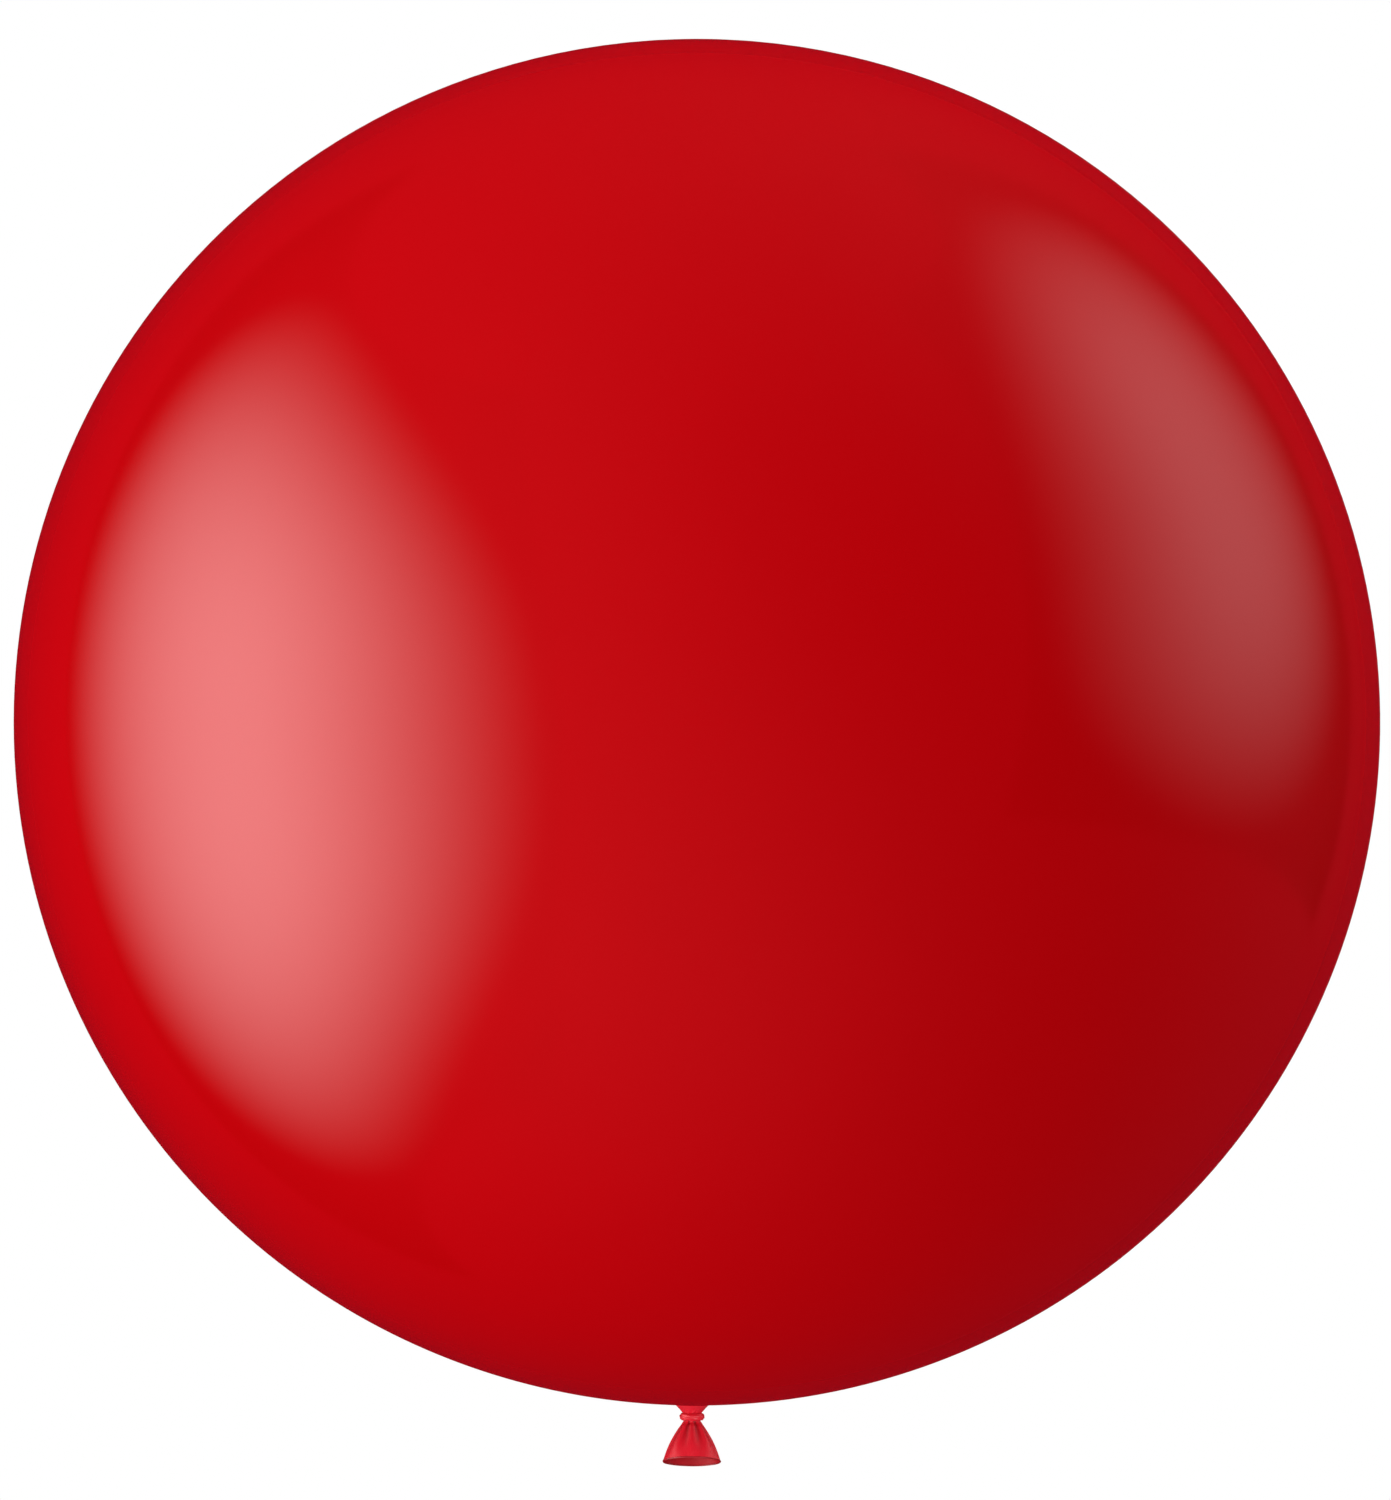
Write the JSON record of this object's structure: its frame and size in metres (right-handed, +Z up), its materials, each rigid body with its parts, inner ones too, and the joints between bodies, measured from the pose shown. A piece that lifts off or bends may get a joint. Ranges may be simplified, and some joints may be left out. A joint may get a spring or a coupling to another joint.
{
  "type": "latex balloon",
  "caption": "Large round latex balloon, inflated and closed by a knot in its own neck, with a short flared tail and rolled lip below the knot.",
  "frame": {"origin": "on the ball's axis in the groove between the ball and the knot, where a ribbon is tied", "axes": "+Z up the ball's axis from the knot to the crown; the tail leans towards -Y; +X to the right when looking along +Y"},
  "size_m": [0.78, 0.78, 0.8153],
  "materials": {
    "stretched_latex": "opaque red latex stretched tight, smooth and glossy",
    "soft_latex": "unstretched red latex, satin, finely pleated"
  },
  "bodies": {
    "ball": {"bulb": "stretched_latex", "neck_funnel": "soft_latex"},
    "neck": {"neck_waist": "soft_latex"},
    "knot": {"knot_loop": "soft_latex", "knot_core": "soft_latex"},
    "throat": {"tail_waist": "soft_latex"},
    "tail": {"tail_skirt": "soft_latex", "mouth_bead": "soft_latex"}
  },
  "joints": [
    {"name": "neck_swing_fore", "type": "hinge", "parent": "ball", "child": "neck", "pos_m": [0, 0, 0], "axis": [1, 0, 0], "range_deg": [-12, 12], "stiffness_Nm_per_rad": 0.01, "deforming": ["neck_funnel", "neck_waist"]},
    {"name": "neck_swing_side", "type": "hinge", "parent": "neck", "child": "knot", "pos_m": [0, 0, 0], "axis": [0, 1, 0], "range_deg": [-12, 12], "stiffness_Nm_per_rad": 0.01, "deforming": ["neck_funnel", "neck_waist"]},
    {"name": "tail_swing_fore", "type": "hinge", "parent": "knot", "child": "throat", "pos_m": [0, 0, -0.00455], "axis": [1, 0, 0], "range_deg": [-30, 30], "stiffness_Nm_per_rad": 0.005, "deforming": ["tail_waist"]},
    {"name": "tail_swing_side", "type": "hinge", "parent": "throat", "child": "tail", "pos_m": [0, 0, -0.00455], "axis": [0, 0.9759, -0.2181], "range_deg": [-30, 30], "stiffness_Nm_per_rad": 0.005, "deforming": ["tail_waist"]}
  ]
}
